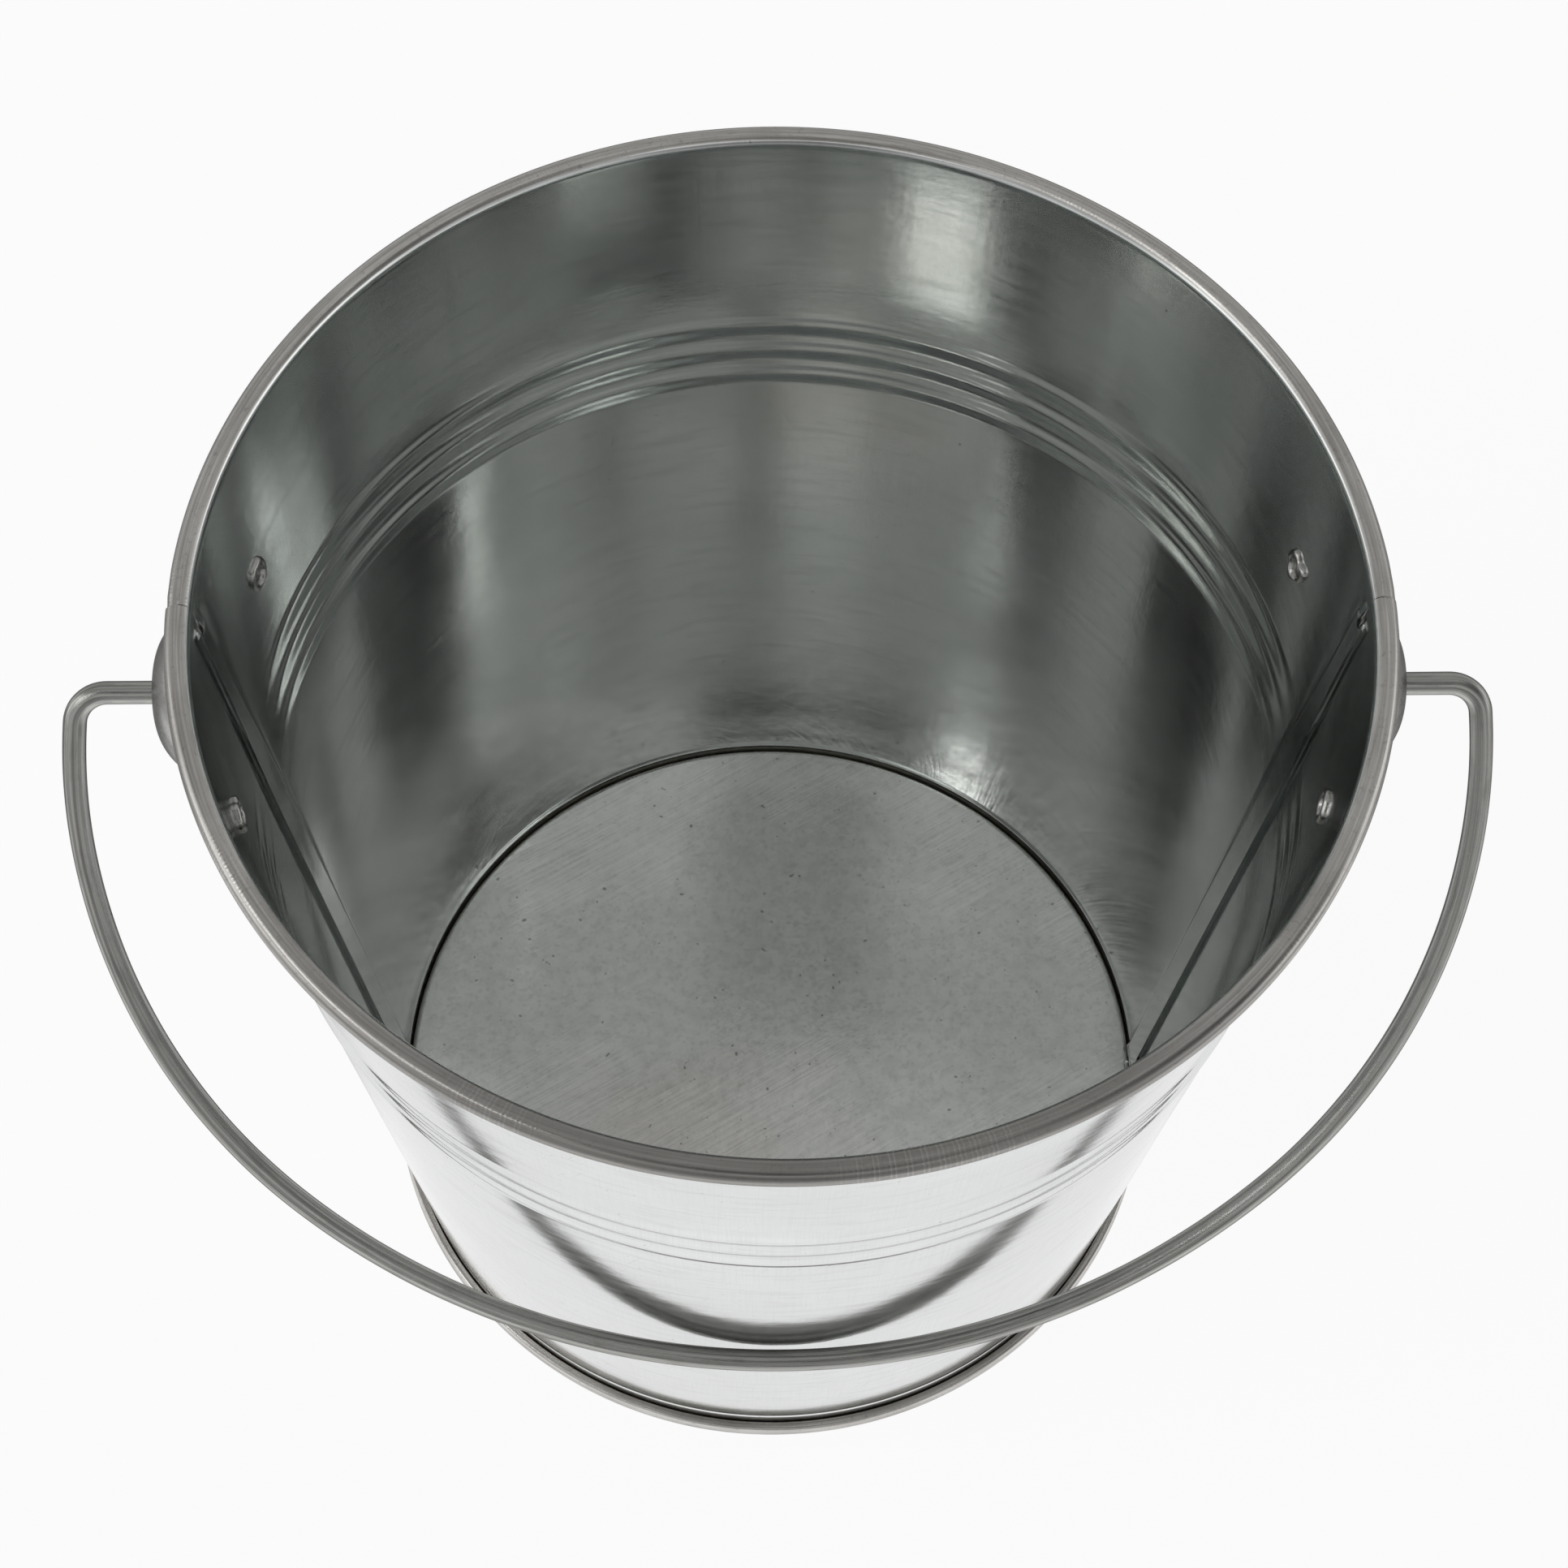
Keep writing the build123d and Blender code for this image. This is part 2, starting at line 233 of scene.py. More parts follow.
def make_piece(
    name, points, faces, materials, zones=None, thickness=0.0, sharp_angle=40 * degree, flow=None, shares=None
):
    """Mesh object from points and faces. With a thickness, the faces are the middle of a sheet."""
    mesh = bpy.data.meshes.new(name)
    mesh.from_pydata([tuple(point) for point in points], [], faces)
    for material in materials:
        mesh.materials.append(material)
    if zones is not None:
        mesh.polygons.foreach_set("material_index", zones)
    if flow is not None:
        layer = mesh.attributes.new("flow", "FLOAT_VECTOR", "POINT")
        layer.data.foreach_set("vector", [value for row in flow for value in row])
    piece = bpy.data.objects.new(name, mesh)
    bpy.context.scene.collection.objects.link(piece)
    if shares is not None:
        group = piece.vertex_groups.new(name="thickness")
        for index, share in enumerate(shares):
            group.add([index], share, "REPLACE")
    clean_mesh(mesh)
    if thickness:
        thicken(piece, thickness, shares)
    piece.data.polygons.foreach_set("use_smooth", [True] * len(piece.data.polygons))
    piece.data.set_sharp_from_angle(angle=sharp_angle)
    piece.data.update()
    return piece


def grid_faces(columns, rows, keep=None, closed=False):
    """Quads of a grid whose points are stored column by column."""
    faces = []
    for i in range(columns if closed else columns - 1):
        following = (i + 1) % columns
        for j in range(rows - 1):
            if keep is None or keep(i, j):
                near, far = i * rows + j, following * rows + j
                faces.append((near, far, far + 1, near + 1))
    return faces


def finish_piece(piece, body, node):
    """Says which body the piece rides on, and hides the CAD node it stands for."""
    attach(piece, body)
    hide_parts(node)


# ---------------------------------------------------------------- node graphs for materials
chatter_pitch = 0.62 * mm
fine_chatter_pitch = 0.47 * mm
# Painted shade on the front of the rim: full in front of the first y, gone from the second on
painted_shade_rim_start = -72 * mm
painted_shade_rim_end = -30 * mm
brush_turn = 0.54
warm_patch = (-8 * mm, -30 * mm)


class Graph:
    """Short calls that add shader nodes to one material or world."""

    def __init__(self, owner):
        owner.use_nodes = True
        self.tree = owner.node_tree
        self.tree.nodes.clear()

    def node(self, kind, inputs=(), **settings):
        made = self.tree.nodes.new("ShaderNode" + kind)
        for name, value in settings.items():
            setattr(made, name, value)
        for key, value in dict(inputs).items():
            self.set(made.inputs[key], value)
        return made

    def set(self, socket, value):
        if isinstance(value, bpy.types.NodeSocket):
            self.tree.links.new(value, socket)
        else:
            socket.default_value = value

    def math(self, operation, first, second=0.0, third=0.0):
        inputs = {0: first, 1: second, 2: third}
        return self.node("Math", inputs, operation=operation).outputs[0]

    def vector(self, x, y, z=0.0):
        return self.node("CombineXYZ", {0: x, 1: y, 2: z}).outputs[0]

    def noise(self, vector, scale, detail=2.0, roughness=0.5):
        inputs = {"Vector": vector, "Scale": scale, "Detail": detail, "Roughness": roughness}
        return self.node("TexNoise", inputs).outputs["Fac"]

    def spread(self, value, low, high, to_low, to_high, **settings):
        """Straight mapping of a value from one range to another."""
        inputs = {"Value": value, "From Min": low, "From Max": high, "To Min": to_low, "To Max": to_high}
        return self.node("MapRange", inputs, **settings).outputs[0]

    def step(self, value, low, high, to_low=0.0, to_high=1.0):
        """Smooth rise of a value between two limits."""
        return self.spread(value, low, high, to_low, to_high, interpolation_type="SMOOTHSTEP")

    def length(self, first, second):
        """Length of a flat vector."""
        squares = self.math("ADD", self.math("MULTIPLY", first, first), self.math("MULTIPLY", second, second))
        return self.math("SQRT", squares)

    def ranged(self, noise_value, to_low, to_high):
        """Straight mapping of a noise's usual spread to a range."""
        return self.spread(noise_value, 0.3, 0.7, to_low, to_high)

    def mix(self, share, first, second):
        made = self.node("Mix", data_type="RGBA")
        self.set(made.inputs["Factor"], share)
        self.set(made.inputs[6], first)
        self.set(made.inputs[7], second)
        return made.outputs[2]

    def bump(self, height, distance, strength=1.0, normal=None):
        inputs = {"Height": height, "Distance": distance, "Strength": strength}
        made = self.node("Bump", inputs)
        if normal is not None:
            self.set(made.inputs["Normal"], normal)
        return made.outputs[0]


def object_position(graph):
    """Position on the piece, and its three parts."""
    position = graph.node("TexCoord").outputs["Object"]
    parts = graph.node("SeparateXYZ", {0: position}).outputs
    return position, parts[0], parts[1], parts[2]


def streaks(graph, vector, turn, fine, long, keep):
    """Thin straight streaks in patches, 1 on a streak. They run along the x axis turned by an angle.

    fine and long are repeats per metre across and along them, and noise above keep makes a streak.
    """
    turned = graph.node("Mapping", {"Vector": vector, "Rotation": (0, 0, -turn)}).outputs[0]
    drawn = graph.node("Mapping", {"Vector": turned, "Scale": (long, fine, fine)}).outputs[0]
    lines = graph.step(graph.noise(drawn, 1.0, 2.0, 0.6), keep, keep + 0.1)
    patches = graph.step(graph.noise(vector, long * 0.35, 3.0), 0.42, 0.6)
    return graph.math("MULTIPLY", lines, patches)


def stretched(graph, vector, x_scale, y_scale, detail=2.0, roughness=0.5):
    """Noise that is finer along one axis than along the other. Scales are repeats per metre."""
    drawn = graph.node("Mapping", {"Vector": vector, "Scale": (x_scale, y_scale, x_scale)}).outputs[0]
    return graph.noise(drawn, 1.0, detail, roughness)


def blend(graph, share, amount, color, tint):
    """Mixes a tint into a colour by a share that is at most the amount."""
    return graph.mix(graph.math("MULTIPLY", share, amount), color, tint)


def metal(graph, color, rough, normal, edge_tint):
    """Metal shader. The edge tint is its reflectance at grazing angles."""
    inputs = {"Base Color": color, "Metallic": 1.0, "Roughness": rough, "Normal": normal}
    inputs["Specular Tint"] = (edge_tint, edge_tint, edge_tint, 1)
    shader = graph.node("BsdfPrincipled", inputs)
    graph.node("OutputMaterial", {"Surface": shader.outputs[0]})


def sheet_material(name):
    """Bright galvanised sheet: upright lines, level smudges, cloudy patches, scratches and specks."""
    material = bpy.data.materials.new(name)
    graph = Graph(material)
    position, x, y, z = object_position(graph)
    around = graph.math("MULTIPLY", graph.math("ARCTAN2", y, x), wall_radius(wall_mean_height))
    flow = graph.vector(around, z)
    lines = stretched(graph, flow, x_scale=3600.0, y_scale=70.0, detail=3.0, roughness=0.6)
    broad_lines = stretched(graph, flow, x_scale=900.0, y_scale=14.0, detail=2.0)
    smudges = stretched(graph, flow, x_scale=90.0, y_scale=620.0, detail=4.0, roughness=0.62)
    cloud = graph.noise(position, 42.0, detail=5.0, roughness=0.62)
    fine_cloud = graph.noise(position, 260.0, detail=3.0, roughness=0.6)
    slant = streaks(graph, flow, turn=1.2, fine=5200.0, long=110.0, keep=0.66)
    level = streaks(graph, flow, turn=0.08, fine=3600.0, long=130.0, keep=0.69)
    specks = graph.step(graph.noise(position, 1100.0, detail=2.0), 0.73, 0.78)

    color = graph.mix(graph.ranged(cloud, 0.0, 1.0), (0.735, 0.752, 0.742, 1), (0.8, 0.812, 0.812, 1))
    color = blend(graph, graph.step(lines, 0.42, 0.66), 0.13, color, (0.55, 0.565, 0.555, 1))
    color = blend(graph, graph.step(smudges, 0.48, 0.68), 0.22, color, (0.53, 0.545, 0.525, 1))
    color = blend(graph, slant, 0.5, color, (0.4, 0.405, 0.395, 1))
    color = blend(graph, level, 0.65, color, (0.33, 0.33, 0.31, 1))
    color = blend(graph, specks, 0.65, color, (0.25, 0.25, 0.24, 1))

    rough = graph.ranged(smudges, 0.05, 0.12)
    rough = graph.math("ADD", rough, graph.ranged(cloud, 0.0, 0.04))
    rough = graph.math("ADD", rough, graph.math("MULTIPLY", slant, 0.15))

    drawn = graph.math("ADD", graph.math("MULTIPLY", lines, 0.35), broad_lines)
    normal = graph.bump(drawn, 0.0035 * mm)
    normal = graph.bump(smudges, 0.009 * mm, 1.0, normal)
    clouds = graph.math("ADD", cloud, graph.math("MULTIPLY", fine_cloud, 0.12))
    normal = graph.bump(clouds, 0.05 * mm, 1.0, normal)
    metal(graph, color, rough, normal, edge_tint=0.85)
    return material


def worked_material(name):
    """Zinc worked dull by the dies, on the rim and the chime: warm grey, with tool chatter in places and
    painted shade on the front of the rim.
    """
    material = bpy.data.materials.new(name)
    graph = Graph(material)
    position, x, y, z = object_position(graph)
    around = graph.math("MULTIPLY", graph.math("ARCTAN2", y, x), rim_radius)
    out = graph.length(x, y)
    across = graph.math("SUBTRACT", out, z)
    flow = graph.vector(around, across, graph.math("ADD", out, z))
    turned = stretched(graph, flow, x_scale=55.0, y_scale=3800.0, detail=3.0, roughness=0.6)
    cloud = graph.noise(position, 60.0, detail=4.0, roughness=0.65)
    grain = graph.noise(position, 1500.0, detail=3.0, roughness=0.6)
    wave = graph.math("SINE", graph.math("MULTIPLY", around, 2 * pi / chatter_pitch))
    second_wave = graph.math("SINE", graph.math("MULTIPLY", around, 2 * pi / fine_chatter_pitch))
    place = graph.step(graph.noise(graph.vector(around, 0.0), 24.0, detail=2.0), 0.45, 0.62)
    chatter = graph.math("MULTIPLY", graph.math("ADD", wave, graph.math("MULTIPLY", second_wave, 0.6)), place)
    color = graph.mix(graph.ranged(cloud, 0.0, 1.0), (0.56, 0.545, 0.52, 1), (0.74, 0.725, 0.7, 1))
    # Painted shade: the front of the rim is darker than the rest
    front = graph.step(y, painted_shade_rim_start, painted_shade_rim_end, 1.0, 0.0)
    painted_shade_front_rim = graph.math("MULTIPLY", front, graph.step(z, 50 * mm, 100 * mm))
    color = blend(graph, painted_shade_front_rim, 0.75, color, (0.26, 0.253, 0.243, 1))
    color = blend(graph, graph.step(turned, 0.42, 0.66), 0.45, color, (0.27, 0.25, 0.235, 1))
    color = blend(graph, graph.step(chatter, 0.2, 1.2), 0.3, color, (0.62, 0.61, 0.58, 1))
    color = blend(graph, graph.step(grain, 0.55, 0.75), 0.35, color, (0.2, 0.19, 0.18, 1))
    rough = graph.ranged(turned, 0.24, 0.38)
    normal = graph.bump(turned, 0.006 * mm)
    normal = graph.bump(chatter, 0.004 * mm, 1.0, normal)
    normal = graph.bump(grain, 0.006 * mm, 1.0, normal)
    metal(graph, color, rough, normal, edge_tint=0.65)
    return material


def bottom_material(name):
    """Galvanised sheet of the bottom: mottled, brushed in patches, with small dark pits and a warm patch."""
    material = bpy.data.materials.new(name)
    graph = Graph(material)
    position, x, y, _ = object_position(graph)
    cloud = graph.noise(position, 30.0, detail=4.0, roughness=0.6)
    mottle = graph.noise(position, 430.0, detail=4.0, roughness=0.6)
    crease = graph.noise(position, 1300.0, detail=2.0, roughness=0.5)
    turned = graph.node("Mapping", {"Vector": position, "Rotation": (0, 0, -brush_turn)}).outputs[0]
    brushed = stretched(graph, turned, x_scale=90.0, y_scale=3000.0, detail=3.0)
    brush_place = graph.step(graph.noise(graph.vector(x, y, 2.0), 22.0, detail=2.0), 0.34, 0.6)
    brushed = graph.math("MULTIPLY", brushed, brush_place)
    bright = streaks(graph, position, turn=0.5, fine=4200.0, long=90.0, keep=0.66)
    cross = streaks(graph, position, turn=2.1, fine=4000.0, long=120.0, keep=0.7)
    pits = graph.step(graph.noise(position, 900.0, detail=1.0), 0.73, 0.79)
    warm_x = graph.math("SUBTRACT", x, warm_patch[0])
    warm_y = graph.math("SUBTRACT", y, warm_patch[1])
    warm_far = graph.math("ADD", graph.length(warm_x, warm_y), graph.ranged(cloud, -12 * mm, 12 * mm))
    warm = graph.step(warm_far, 12 * mm, 34 * mm, 1.0, 0.0)
    color = graph.mix(graph.ranged(cloud, 0.0, 1.0), (0.69, 0.715, 0.69, 1), (0.765, 0.785, 0.76, 1))
    color = blend(graph, warm, 0.8, color, (0.75, 0.725, 0.68, 1))
    color = blend(graph, graph.step(mottle, 0.4, 0.64), 0.26, color, (0.5, 0.51, 0.485, 1))
    color = blend(graph, graph.step(crease, 0.5, 0.7), 0.2, color, (0.36, 0.36, 0.34, 1))
    color = blend(graph, graph.step(brushed, 0.25, 0.6), 0.42, color, (0.95, 0.95, 0.92, 1))
    color = blend(graph, bright, 0.5, color, (0.95, 0.95, 0.93, 1))
    color = blend(graph, cross, 0.45, color, (0.4, 0.4, 0.38, 1))
    color = blend(graph, pits, 0.7, color, (0.2, 0.2, 0.19, 1))
    rough = graph.ranged(cloud, 0.19, 0.26)
    rough = graph.math("ADD", rough, graph.math("MULTIPLY", brush_place, -0.06))
    normal = graph.bump(mottle, 0.035 * mm)
    normal = graph.bump(brushed, 0.02 * mm, 1.0, normal)
    normal = graph.bump(cloud, 0.08 * mm, 1.0, normal)
    metal(graph, color, rough, normal, edge_tint=0.85)
    return material


def pressed_material(name, scale):
    """Pressed steel of the ears and rivets: cloudy satin grey, with darker pressing marks."""
    material = bpy.data.materials.new(name)
    graph = Graph(material)
    position, x, y, z = object_position(graph)
    cloud = graph.noise(position, scale, detail=4.0, roughness=0.6)
    grain = graph.noise(position, scale * 14, detail=3.0, roughness=0.6)
    marks = streaks(graph, graph.vector(y, z, x), turn=0.9, fine=scale * 32, long=scale * 1.2, keep=0.6)
    color = graph.mix(graph.ranged(cloud, 0.0, 1.0), (0.44, 0.43, 0.415, 1), (0.58, 0.575, 0.56, 1))
    color = blend(graph, marks, 0.4, color, (0.3, 0.295, 0.285, 1))
    rough = graph.ranged(grain, 0.24, 0.36)
    normal = graph.bump(graph.math("ADD", graph.math("MULTIPLY", grain, 0.25), cloud), 0.03 * mm)
    metal(graph, color, rough, normal, edge_tint=0.5)
    return material


def wire_material(name):
    """Drawn galvanised wire: die lines along its length, dull patches and small nicks."""
    material = bpy.data.materials.new(name)
    graph = Graph(material)
    flow = graph.node("Attribute", attribute_name="flow").outputs["Vector"]
    parts = graph.node("SeparateXYZ", {0: flow}).outputs
    turn, along = parts[0], parts[1]
    ring_x, ring_y = graph.math("COSINE", turn), graph.math("SINE", turn)

    def drawn(ring_scale, along_scale, detail):
        """Noise round and along the wire. The ring has a radius of ring_scale repeats."""
        across = graph.math("MULTIPLY", ring_x, ring_scale)
        back = graph.math("MULTIPLY", ring_y, ring_scale)
        place = graph.vector(across, back, graph.math("MULTIPLY", along, along_scale))
        return graph.noise(place, 1.0, detail, roughness=0.6)

    long_lines = drawn(4.0, 16.0, 3.0)
    fine_lines = drawn(14.0, 110.0, 3.0)
    patches = drawn(1.1, 130.0, 4.0)
    nicks = graph.step(drawn(6.0, 1600.0, 2.0), 0.7, 0.76)
    color = graph.mix(graph.step(long_lines, 0.36, 0.64), (0.36, 0.355, 0.34, 1), (0.57, 0.57, 0.55, 1))
    color = blend(graph, graph.step(patches, 0.5, 0.7), 0.4, color, (0.2, 0.195, 0.185, 1))
    color = blend(graph, nicks, 0.5, color, (0.62, 0.62, 0.6, 1))
    rough = graph.ranged(fine_lines, 0.22, 0.38)
    normal = graph.bump(graph.math("ADD", graph.math("MULTIPLY", fine_lines, 0.4), long_lines), 0.035 * mm)
    metal(graph, color, rough, normal, edge_tint=0.35)
    return material


# ---------------------------------------------------------------- body halves
def body_rows():
    """Rows of the body's section, from the foot hook to the end of the rolled rim: (r, z, heading)."""
    path = [(foot_radius + 2 * chime_pitch, chime_fold_height - hook_clearance, 3 * pi / 2)]
    run_line(path, chime_fold_height - hook_clearance - chime_turn_height, 1)
    run_arc(path, chime_pitch, -pi, 8)
    run_line(path, foot_height - chime_turn_height, 3)
    run_arc(path, foot_bend, -wall_tilt, 3)
    low, high = bead_heights[0] - bead_width, bead_heights[-1] + bead_width
    bands = (
        (ridge_height - ridge_width / 2, 1),
        (seam_low, 4),
        (ridge_height + ridge_width / 2, 3),
        (low, 48),
        (high, 54),
        (pivot.z - 3 * mm, 5),
        (pivot.z + 3 * mm, 15),
        (seam_high - 2 * mm, 8),
        (seam_high, 5),
        (seam_high + 2 * mm, 5),
        (wall_end.y, 4),
    )
    height = wall_start.y
    for top, steps in bands:
        run_line(path, (top - height) / cos(wall_tilt), steps)
        height = top
    run_arc(path, curl_middle, -curl_turn, 32)
    return path


def spaced(start, end, step):
    """Evenly spaced values after a start, up to an end."""
    count = max(1, round(abs(end - start) / abs(step)))
    return [start + (end - start) * k / count for k in range(1, count + 1)]


def layer_offset(layer):
    """How far in from the wall a layer of the pressed seam lies. The outer one keeps its thickness."""
    low = min(2, int(layer))
    return seam_layers[low] + (seam_layers[low + 1] - seam_layers[low]) * (layer - low)


def fold_columns(middle, inner_layer, outer_layer, side):
    """Columns round a fold between two layers. Each is (angle, layer, only in the seam)."""
    turn_radius = (inner_layer - outer_layer) / 2
    turn_angle = turn_radius * seam_layers[3] / 3 / wall_radius(wall_mean_height)
    center_layer = (inner_layer + outer_layer) / 2
    columns = []
    for k in range(0, 9):
        turn = -pi / 2 + pi * k / 8
        angle = middle + side * turn_angle * cos(turn)
        columns.append((angle, center_layer - turn_radius * sin(turn), True))
    return columns


# Ends of the runs of columns beyond the seams and the spacing in each, in degrees. They are closest round
# the seams and the rivets' holes
front_runs = ((-2.8, 0.27), (-12.8, 0.75), (-16.2, 0.3), (-30, 0.8), (-90, 1.2))
back_runs = ((12.8, 0.75), (16.2, 0.3), (30, 0.8), (90, 1.2))


def front_columns():
    """Columns from the front half's folded edge at a seam to the middle of the front."""
    columns = [(seam_gap_angle - seam_half_angle, 2, True)]
    columns += [(angle, 2, True) for angle in spaced(columns[-1][0], seam_half_angle, 0.7 * degree)[:-1]]
    columns += fold_columns(seam_half_angle, 2, 0, 1)
    columns += [(angle, 0, True) for angle in spaced(seam_half_angle, -butt_gap_angle, 0.7 * degree)[:-1]]
    columns.append((-butt_gap_angle, 0, False))
    for end, step in front_runs:
        columns += [(angle, 0, False) for angle in spaced(columns[-1][0], end * degree, step * degree)]
    return columns


def back_columns():
    """Columns from the back half's folded edge at a seam, inside it, to the middle of the back."""
    columns = [(seam_half_angle - seam_gap_angle, 1, True)]
    columns += [(angle, 1, True) for angle in spaced(columns[-1][0], -seam_half_angle, 0.7 * degree)[:-1]]
    columns += fold_columns(-seam_half_angle, 1, 3, -1)
    columns += [(angle, 3, True) for angle in spaced(-seam_half_angle, butt_gap_angle, 0.6 * degree)[:-1]]
    columns.append((butt_gap_angle, 3, False))
    columns += [(angle, 3, False) for angle in spaced(butt_gap_angle, step_start, 0.5 * degree)]
    for angle in spaced(step_start, step_end, 0.16 * degree):
        columns.append((angle, 3 - 3 * smoothstep(step_start, step_end, angle), False))
    for end, step in back_runs:
        columns += [(angle, 0, False) for angle in spaced(columns[-1][0], end * degree, step * degree)]
    return columns


def dent(point, seam_angle):
    """Slight unevenness of the pressed sheet, gone at the foot, the rim, the seams and the ears."""
    ear_middle = Vector((wall_radius(pivot.z), 0, pivot.z))
    ear_distance = (Vector((abs(point.x), point.y, point.z)) - ear_middle).length
    fade = smoothstep(8 * mm, 24 * mm, point.z) * smoothstep(139 * mm, 128 * mm, point.z)
    fade *= smoothstep(5 * degree, 14 * degree, abs(seam_angle)) * smoothstep(24 * mm, 40 * mm, ear_distance)
    slow = noise.noise(point / 0.036 + Vector((3.1, 0, 0))) * 0.11 * mm
    quick = noise.noise(point / 0.013 + Vector((0, 7.7, 0))) * 0.022 * mm
    return fade * (slow + quick)


def rib(distance, width):
    """Section of a rounded rib: 1 at its middle, and 0 from its edges on."""
    return 0.5 + 0.5 * cos(2 * pi * distance / width) if abs(distance) < width / 2 else 0.0


def pressed_share(height):
    """1 where the seam's layers are folded, and 0 at the foot and the rim."""
    return smoothstep(seam_press_low, seam_low, height) * smoothstep(seam_press_high, seam_high, height)


def narrowed(angle, height):
    """A seam's angle at a height: it gets narrower from the beads upwards."""
    if abs(angle) >= step_end + 0.01 * degree:
        return angle
    return angle * (1 - seam_top_share * smoothstep(bead_heights[0] - bead_width, seam_high, height))


def snap_to_holes(point, angle, azimuth, side, radius, height, holes):
    """Moves a point that is near a hole's edge onto it, and says whether a point is inside a hole."""
    inside = False
    for hole_angle, hole_height, hole_radius in holes:
        across = (angle - hole_angle) * radius
        rise = (height - hole_height) / cos(wall_tilt)
        distance = hypot(across, rise)
        if abs(distance - hole_radius) < hole_snap:
            shift = hole_radius / distance - 1
            around = Vector((-sin(azimuth), cos(azimuth), 0)) * side
            up = Vector((sin(wall_tilt) * cos(azimuth), sin(wall_tilt) * sin(azimuth), cos(wall_tilt)))
            point += around * across * shift + up * rise * shift
            distance = hole_radius
        inside = inside or distance < hole_radius - hair
    return inside


def body_point(row, angle, layer, side, front, holes):
    """A point of a half's middle surface, and whether it is inside a hole."""
    radius, height, heading = row
    on_wall = wall_start.y <= height <= wall_end.y and 0 < heading < pi / 2
    near = narrowed(angle, height)
    azimuth = near if side == 1 else pi - near
    flat = round_point(radius, azimuth, height)
    offset = -layer_offset(layer) * pressed_share(height)
    if on_wall:
        fade = smoothstep(bead_fade_start, bead_fade_end, abs(angle))
        offset += fade * bead_depth * sum(rib(height - bead, bead_width) for bead in bead_heights)
        offset += dent(flat, angle)
        offset -= ridge_depth * rib(height - ridge_height, ridge_width)
    if not front and heading < wall_tilt and height > wall_end.y - mm:
        offset += rim_steps[side] * (1 - smoothstep(0, rim_step_fade, abs(angle)))
    out = Vector((sin(heading) * cos(azimuth), sin(heading) * sin(azimuth), -cos(heading)))
    point = flat + out * offset
    inside = False
    if layer == 0 and on_wall:
        inside = snap_to_holes(point, near, azimuth, side, radius, height, holes)
    return point, inside


def body_half(name, seam_columns, front):
    """One half of the body, folded at both edges. Angles are measured from each seam towards the back."""
    rows = body_rows()
    columns = [(1, column) for column in seam_columns]
    columns += [(-1, column) for column in reversed(seam_columns[:-1])]
    holes = [(-rivet_hole_angle if front else rivet_hole_angle, pivot.z, rivet_hole_radius)]
    if front:
        holes.append((-notch_angle, notch_height, notch_radius))
    points, places, shares = [], [], []
    for side, (angle, layer, seam_only) in columns:
        for row in rows:
            point, inside = body_point(row, angle, layer, side, front, holes)
            points.append(point)
            places.append((row[1], seam_only, inside))
            shares.append(1 - seam_squash * min(1, layer) * pressed_share(row[1]))
    count = len(rows)

    def keep(i, j):
        """Leaves out faces that touch a hole, and the seam's folds below and above the seam."""
        first, second = i * count + j, (i + 1) * count + j
        corners = [places[first], places[second], places[first + 1], places[second + 1]]
        if any(inside for _, _, inside in corners):
            return False
        if any(seam_only for _, seam_only, _ in corners):
            heights = [height for height, _, _ in corners]
            on_wall = 0 < rows[j][2] < pi / 2 and 0 < rows[j + 1][2] < pi / 2
            return on_wall and min(heights) > seam_low - hair and max(heights) < seam_high + hair
        return True

    faces = grid_faces(len(columns), count, keep)
    curl_row = next(index for index, row in enumerate(rows) if row[2] < rim_dull_heading)
    face_rows = [face[0] % count for face in faces]
    zones = [int(index >= curl_row or rows[index][1] < foot_dull_height) for index in face_rows]
    return make_piece(name, points, faces, [galvanised, worked], zones, sheet, 50 * degree, shares=shares)


# ---------------------------------------------------------------- bottom disc
def bottom_disc():
    """Recessed panel, its shoulder and the layers wrapped round the foot."""
    skirt_radius = foot_radius - chime_pitch
    cover_radius = foot_radius + 3 * chime_pitch
    panel_middle = panel_top - sheet / 2
    path = [(panel_hub, panel_middle, 0.0)]
    run_line(path, skirt_radius - panel_shoulder - panel_hub, 44)
    run_arc(path, panel_shoulder, -pi / 2, 10)
    run_line(path, path[-1][1] - sheet / 2 - chime_pitch, 3)
    run_arc(path, chime_pitch, pi / 2, 8)
    run_line(path, cover_radius - chime_pitch - path[-1][0], 2)
    run_arc(path, chime_pitch, pi / 2, 8)
    run_line(path, chime_fold_height - path[-1][1], 2)
    run_arc(path, chime_pitch, pi / 2, 7)
    run_line(path, chime_pitch - chime_crown, 2)
    run_arc(path, chime_crown, pi / 2, 6)
    run_line(path, path[-1][1] - chime_turn_height - hook_clearance, 1)
    columns = 240
    points = []
    for i in range(columns):
        azimuth = 2 * pi * i / columns
        for radius, height, _ in path:
            point = round_point(radius, azimuth, height)
            if radius < skirt_radius - panel_shoulder and height > panel_middle - hair:
                fade = smoothstep(skirt_radius - panel_shoulder, skirt_radius - panel_sag_margin, radius)
                slow = noise.noise(point / 0.03 + Vector((0, 0, 5.5))) * 0.1 * mm
                point.z += fade * (slow - panel_sag)
            points.append(point)
    faces = grid_faces(columns, len(path), closed=True)
    faces.append([i * len(path) for i in range(columns)])
    outside_rows = [radius > skirt_radius + sheet for radius, _, _ in path]
    zones = [int(outside_rows[face[0] % len(path)]) for face in faces]
    return make_piece("bottom_disc_sheet", points, faces, [mottled, worked], zones, sheet)


